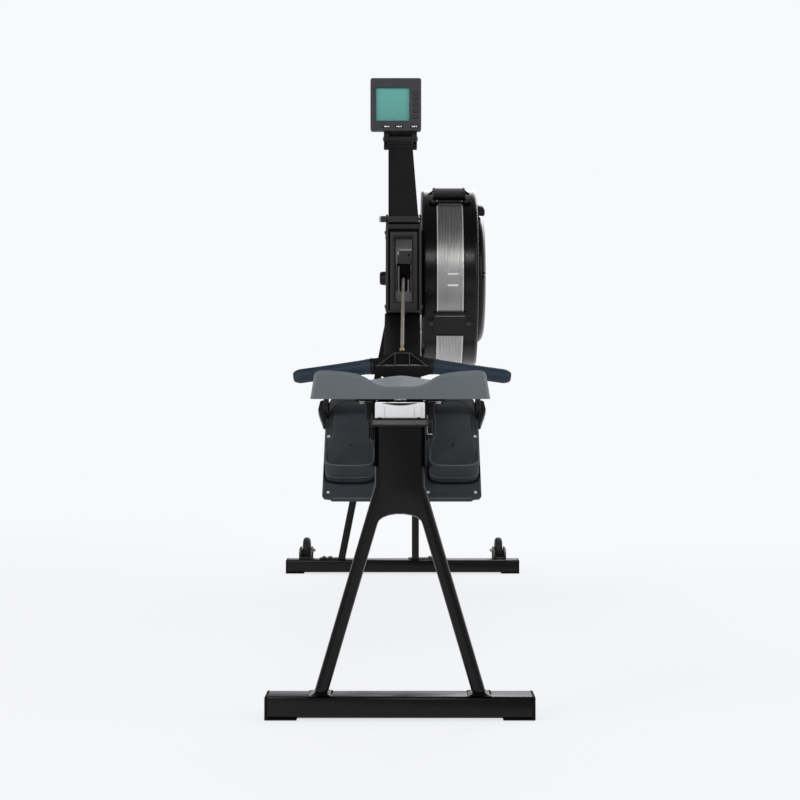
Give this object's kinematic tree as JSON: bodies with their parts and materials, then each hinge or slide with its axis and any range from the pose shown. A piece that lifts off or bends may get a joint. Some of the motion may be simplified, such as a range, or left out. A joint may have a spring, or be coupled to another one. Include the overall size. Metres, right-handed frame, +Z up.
{
  "type": "air rowing machine",
  "caption": "Indoor rowing machine with a rail and sliding seat, footboards, a chain handle, an air flywheel to one side and a monitor on an arm.",
  "frame": {"origin": "on the floor, under the middle of the machine's overall box", "axes": "+Y forwards along the rail from the seat's end to the flywheel, +Z up, +X to the flywheel's side"},
  "size_m": [0.61, 2.4392, 1.254],
  "materials": {
    "black_plastic": "moulded, satin black",
    "black_steel": "powder coat, satin black",
    "brass": "turned",
    "bright_track": "drawn stainless track",
    "case_grey": "moulded, fine texture, dark grey",
    "chain_steel": "nickel plated",
    "display_teal": "liquid crystal display, teal grey",
    "gloss_black": "moulded, glossy black",
    "grip_blue": "soft navy sleeve",
    "pale_plastic": "moulded, pale grey",
    "rail_aluminium": "extruded, clear anodised",
    "rubber": "black",
    "screen_steel": "perforated band, brushed",
    "seat_grey": "moulded shell, fine grain, blue grey",
    "slate_plastic": "moulded, dark slate",
    "strap_webbing": "woven webbing, black"
  },
  "bodies": {
    "frame": {"rear_foot_bar": "black_steel", "rear_foot_left": "rubber", "rear_foot_right": "rubber", "front_foot_bar": "black_steel", "front_foot_left": "rubber", "front_foot_right": "rubber", "rail": "rail_aluminium", "rail_track": "bright_track", "rail_end_cap": "pale_plastic", "rear_leg": "black_steel", "main_beam": "black_steel", "front_leg": "black_steel", "chain_housing": "black_plastic", "chain_guide": "black_plastic", "chain": "chain_steel", "shock_cord": "rubber", "inner_shell": "gloss_black", "outer_shell": "gloss_black", "fan_screen": "screen_steel", "top_bracket": "black_plastic", "lower_bracket": "black_plastic", "damper_cover": "gloss_black", "handle_hook": "black_plastic", "footboard_left": "slate_plastic", "strap_left": "strap_webbing", "caster_bracket_left": "black_plastic", "footboard_right": "slate_plastic", "strap_right": "strap_webbing", "caster_bracket_right": "black_plastic"},
    "insert_left": {"insert_left": "slate_plastic"},
    "insert_right": {"insert_right": "slate_plastic"},
    "seat": {"seat_shell": "seat_grey", "seat_carriage": "black_steel"},
    "seat_roller_front": {"seat_roller_front": "pale_plastic"},
    "seat_roller_rear": {"seat_roller_rear": "pale_plastic"},
    "guide_roller_left": {"guide_roller_left": "pale_plastic"},
    "guide_roller_right": {"guide_roller_right": "pale_plastic"},
    "handle": {"handle_core": "rail_aluminium", "grip_left": "grip_blue", "grip_right": "grip_blue", "handle_yoke": "black_plastic", "chain_swivel": "brass"},
    "sprocket": {"sprocket": "chain_steel"},
    "flywheel": {"flywheel": "rail_aluminium", "flywheel_axle": "black_steel"},
    "damper_lever": {"damper_lever": "black_plastic"},
    "monitor_arm": {"monitor_arm": "black_steel"},
    "monitor": {"case_front": "case_grey", "case_back": "case_grey", "monitor_screen": "display_teal"},
    "caster_wheel_left": {"caster_wheel_left": "rubber"},
    "caster_wheel_right": {"caster_wheel_right": "rubber"},
    "side_button_1": {"side_button_1": "case_grey"},
    "side_button_2": {"side_button_2": "case_grey"},
    "side_button_3": {"side_button_3": "case_grey"},
    "side_button_4": {"side_button_4": "case_grey"},
    "side_button_5": {"side_button_5": "case_grey"},
    "low_button_1": {"low_button_1": "case_grey"},
    "low_button_2": {"low_button_2": "case_grey"},
    "low_button_3": {"low_button_3": "case_grey"}
  },
  "joints": [
    {"name": "seat_slide", "type": "slide", "parent": "frame", "child": "seat", "axis": [0, 1, 0], "range_m": [-0.03, 0.88]},
    {"name": "seat_roller_rear_spin", "type": "hinge", "parent": "seat", "child": "seat_roller_rear", "pos_m": [0, -1.06458, 0.4803], "axis": [1, 0, 0], "range_deg": [-5800, 300]},
    {"name": "seat_roller_front_spin", "type": "hinge", "parent": "seat", "child": "seat_roller_front", "pos_m": [0, -0.92458, 0.4803], "axis": [1, 0, 0], "range_deg": [-5800, 300]},
    {"name": "guide_roller_left_spin", "type": "hinge", "parent": "seat", "child": "guide_roller_left", "pos_m": [0, -0.99458, 0.4468], "axis": [1, 0, 0], "range_deg": [-300, 6500]},
    {"name": "guide_roller_right_spin", "type": "hinge", "parent": "seat", "child": "guide_roller_right", "pos_m": [0, -0.99458, 0.4468], "axis": [1, 0, 0], "range_deg": [-300, 6500]},
    {"name": "handle_pull", "type": "slide", "parent": "frame", "child": "handle", "axis": [0, -0.9848, 0.1736], "range_m": [0, 1.15], "stiffness_N_per_m": 20, "springref_m": -0.5, "deforming": ["chain"]},
    {"name": "sprocket_spin", "type": "hinge", "parent": "frame", "child": "sprocket", "pos_m": [0.003, 0.98508, 0.7776], "axis": [1, 0, 0], "range_deg": [-3800, 60]},
    {"name": "flywheel_spin", "type": "hinge", "parent": "frame", "child": "flywheel", "pos_m": [0, 0.98508, 0.7776], "axis": [1, 0, 0], "continuous": true},
    {"name": "damper_turn", "type": "hinge", "parent": "frame", "child": "damper_lever", "pos_m": [0, 0.98508, 0.7776], "axis": [1, 0, 0], "range_deg": [0, 60]},
    {"name": "arm_fold", "type": "hinge", "parent": "frame", "child": "monitor_arm", "pos_m": [0, 0.65008, 0.9065], "axis": [1, 0, 0], "range_deg": [-60, 45]},
    {"name": "monitor_tilt", "type": "hinge", "parent": "monitor_arm", "child": "monitor", "pos_m": [0, 0.65008, 1.1065], "axis": [1, 0, 0], "range_deg": [-25, 25]},
    {"name": "insert_left_slide", "type": "slide", "parent": "frame", "child": "insert_left", "axis": [0, 0.7431, 0.6691], "range_m": [-0.03, 0.06]},
    {"name": "insert_right_slide", "type": "slide", "parent": "frame", "child": "insert_right", "axis": [0, 0.7431, 0.6691], "range_m": [-0.03, 0.06]},
    {"name": "caster_left_spin", "type": "hinge", "parent": "frame", "child": "caster_wheel_left", "pos_m": [-0.2548, 0.96338, 0.0525], "axis": [1, 0, 0], "continuous": true},
    {"name": "caster_right_spin", "type": "hinge", "parent": "frame", "child": "caster_wheel_right", "pos_m": [0.2548, 0.96338, 0.0525], "axis": [1, 0, 0], "continuous": true},
    {"name": "side_button_1_press", "type": "slide", "parent": "monitor", "child": "side_button_1", "axis": [0, 1, 0], "range_m": [0, 0.0012], "stiffness_N_per_m": 500},
    {"name": "side_button_2_press", "type": "slide", "parent": "monitor", "child": "side_button_2", "axis": [0, 1, 0], "range_m": [0, 0.0012], "stiffness_N_per_m": 500},
    {"name": "side_button_3_press", "type": "slide", "parent": "monitor", "child": "side_button_3", "axis": [0, 1, 0], "range_m": [0, 0.0012], "stiffness_N_per_m": 500},
    {"name": "side_button_4_press", "type": "slide", "parent": "monitor", "child": "side_button_4", "axis": [0, 1, 0], "range_m": [0, 0.0012], "stiffness_N_per_m": 500},
    {"name": "side_button_5_press", "type": "slide", "parent": "monitor", "child": "side_button_5", "axis": [0, 1, 0], "range_m": [0, 0.0012], "stiffness_N_per_m": 500},
    {"name": "low_button_1_press", "type": "slide", "parent": "monitor", "child": "low_button_1", "axis": [0, 1, 0], "range_m": [0, 0.0012], "stiffness_N_per_m": 500},
    {"name": "low_button_2_press", "type": "slide", "parent": "monitor", "child": "low_button_2", "axis": [0, 1, 0], "range_m": [0, 0.0012], "stiffness_N_per_m": 500},
    {"name": "low_button_3_press", "type": "slide", "parent": "monitor", "child": "low_button_3", "axis": [0, 1, 0], "range_m": [0, 0.0012], "stiffness_N_per_m": 500}
  ],
  "couplings": [
    {"joint": "seat_roller_rear_spin", "follows": "seat_slide", "rad_per_m": -111.11},
    {"joint": "seat_roller_front_spin", "follows": "seat_slide", "rad_per_m": -111.11},
    {"joint": "guide_roller_left_spin", "follows": "seat_slide", "rad_per_m": 125},
    {"joint": "guide_roller_right_spin", "follows": "seat_slide", "rad_per_m": 125},
    {"joint": "sprocket_spin", "follows": "handle_pull", "rad_per_m": -54.945}
  ]
}
